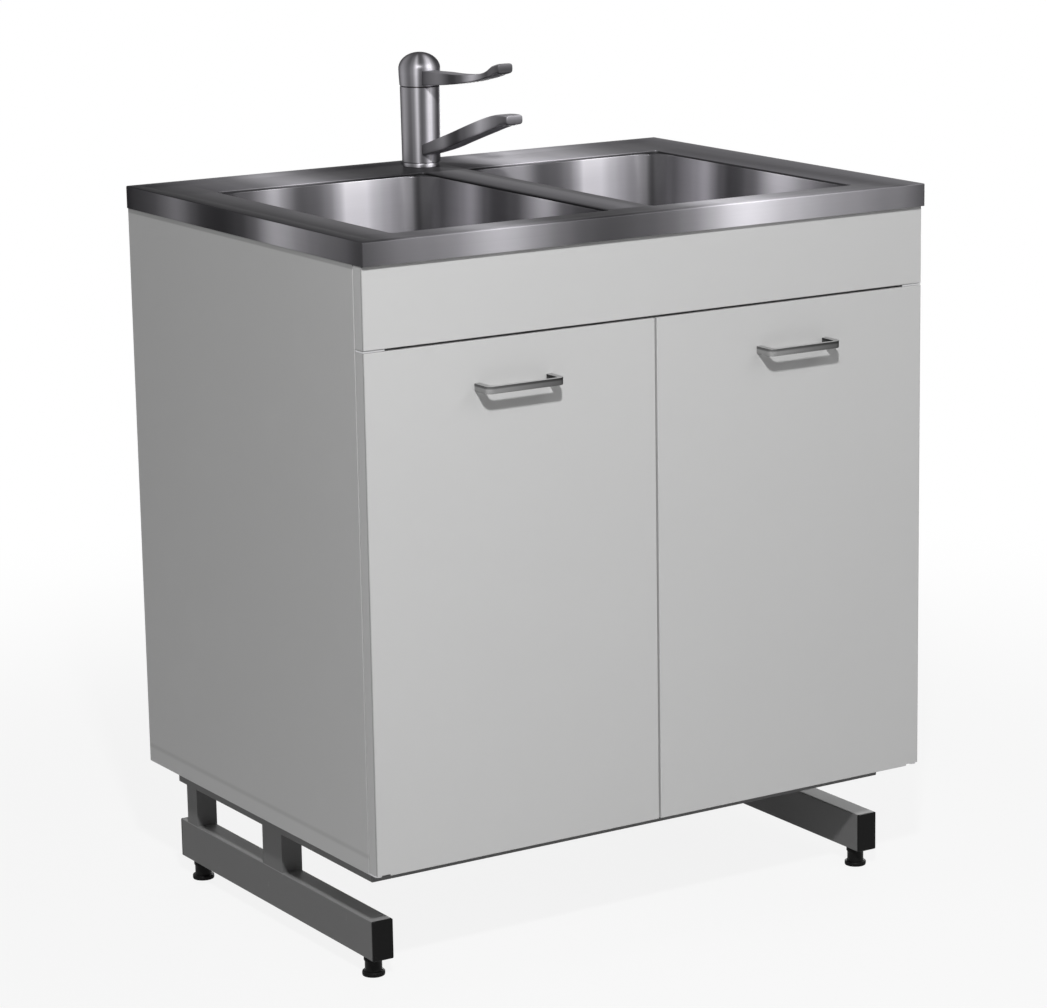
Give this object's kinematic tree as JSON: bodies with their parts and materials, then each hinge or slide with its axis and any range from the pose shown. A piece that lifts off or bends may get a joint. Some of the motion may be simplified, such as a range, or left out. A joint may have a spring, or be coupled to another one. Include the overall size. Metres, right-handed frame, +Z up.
{
  "type": "kitchen sink unit",
  "caption": "Free-standing double-bowl steel sink unit with single-lever tap, hinged grey doors with bow handles and a welded tube underframe on levelling feet.",
  "frame": {"origin": "on the floor, in the middle of the overall width and of the overall depth from the handles to the back of the deck", "axes": "+Z up, front with doors and handles towards -Y, right-hand bowl towards +X as seen from the front"},
  "size_m": [0.8, 0.624, 1.048],
  "materials": {
    "sink_steel": "fine linear brushing, satin",
    "waste_steel": "polished pressed steel",
    "carcass_board": "pale grey melamine faced board, matt",
    "front_board": "pale grey laminate, satin",
    "back_board": "pale faced hardboard",
    "core_board": "raw particle board",
    "pipe_plastic": "white moulded pipe plastic",
    "frame_paint": "dark grey powder coat",
    "black_plastic": "black moulded plastic",
    "handle_steel": "satin nickel",
    "tap_steel": "satin chrome",
    "tap_brass": "turned brass",
    "cartridge_plastic": "moulded valve plastic",
    "catch_plastic": "pale moulded plastic",
    "zinc_steel": "bright zinc plating"
  },
  "bodies": {
    "cabinet": {"back_panel": "back_board", "bottom_panel": "carcass_board", "bowl_left": "sink_steel", "bowl_right": "sink_steel", "bracket_screws": "zinc_steel", "cross_rails": "frame_paint", "crossbar_pipe": "pipe_plastic", "deck_core": "core_board", "door_catches": "catch_plastic", "fascia_panel": "front_board", "foot_nuts": "zinc_steel", "frame_bolts": "zinc_steel", "frame_nuts": "zinc_steel", "front_stretcher": "carcass_board", "hinge_bracket_left": "zinc_steel", "hinge_bracket_right": "zinc_steel", "hinge_plate_left": "zinc_steel", "hinge_plate_right": "zinc_steel", "leg_frame_left": "frame_paint", "leg_frame_right": "frame_paint", "outlet_pipe": "pipe_plastic", "pipe_nuts": "pipe_plastic", "plate_screws": "zinc_steel", "rail_caps": "black_plastic", "rear_stretcher": "carcass_board", "side_panel_left": "carcass_board", "side_panel_right": "carcass_board", "sink_deck": "sink_steel", "tap_base_ring": "tap_steel", "tap_cartridge": "cartridge_plastic", "tap_core": "tap_brass", "tap_nut": "tap_brass", "trap_body": "pipe_plastic", "trap_cup": "pipe_plastic", "waste_left": "waste_steel", "waste_nuts": "pipe_plastic", "waste_right": "waste_steel"},
    "door_left": {"door_left": "front_board", "handle_left": "handle_steel", "handle_screws_left": "zinc_steel", "strike_left": "zinc_steel"},
    "door_right": {"door_right": "front_board", "handle_right": "handle_steel", "handle_screws_right": "zinc_steel", "strike_right": "zinc_steel"},
    "spout": {"tap_sleeve": "tap_steel", "tap_spout": "tap_steel", "tap_aerator": "tap_steel"},
    "mixer": {"tap_carrier": "tap_brass"},
    "lever": {"tap_cap": "tap_steel", "tap_lever": "tap_steel", "lift_pin": "tap_brass"},
    "strainer_left": {"strainer_left": "waste_steel"},
    "strainer_right": {"strainer_right": "waste_steel"},
    "foot_front_left": {"foot_front_left": "black_plastic"},
    "foot_front_right": {"foot_front_right": "black_plastic"},
    "foot_rear_left": {"foot_rear_left": "black_plastic"},
    "foot_rear_right": {"foot_rear_right": "black_plastic"}
  },
  "joints": [
    {"name": "door_left_swing", "type": "hinge", "parent": "cabinet", "child": "door_left", "pos_m": [-0.3944, -0.276, 0.461], "axis": [0, 0, -1], "range_deg": [0, 105]},
    {"name": "door_right_swing", "type": "hinge", "parent": "cabinet", "child": "door_right", "pos_m": [0.3944, -0.276, 0.461], "axis": [0, 0, 1], "range_deg": [0, 105]},
    {"name": "spout_swing", "type": "hinge", "parent": "cabinet", "child": "spout", "pos_m": [0, 0.261, 0.95], "axis": [0, 0, 1], "range_deg": [-60, 60]},
    {"name": "mixer_turn", "type": "hinge", "parent": "cabinet", "child": "mixer", "pos_m": [0, 0.261, 1.015], "axis": [0, 0, 1], "range_deg": [-45, 45]},
    {"name": "lever_lift", "type": "hinge", "parent": "mixer", "child": "lever", "pos_m": [0, 0.2816, 1.008], "axis": [-1, 0, 0], "range_deg": [0, 10]},
    {"name": "strainer_left_lift", "type": "slide", "parent": "cabinet", "child": "strainer_left", "axis": [0, 0, 1], "range_m": [0, 0.08]},
    {"name": "strainer_right_lift", "type": "slide", "parent": "cabinet", "child": "strainer_right", "axis": [0, 0, 1], "range_m": [0, 0.08]},
    {"name": "foot_front_left_screw", "type": "slide", "parent": "cabinet", "child": "foot_front_left", "axis": [0, 0, -1], "range_m": [0, 0.02]},
    {"name": "foot_front_right_screw", "type": "slide", "parent": "cabinet", "child": "foot_front_right", "axis": [0, 0, -1], "range_m": [0, 0.02]},
    {"name": "foot_rear_left_screw", "type": "slide", "parent": "cabinet", "child": "foot_rear_left", "axis": [0, 0, -1], "range_m": [0, 0.02]},
    {"name": "foot_rear_right_screw", "type": "slide", "parent": "cabinet", "child": "foot_rear_right", "axis": [0, 0, -1], "range_m": [0, 0.02]}
  ]
}
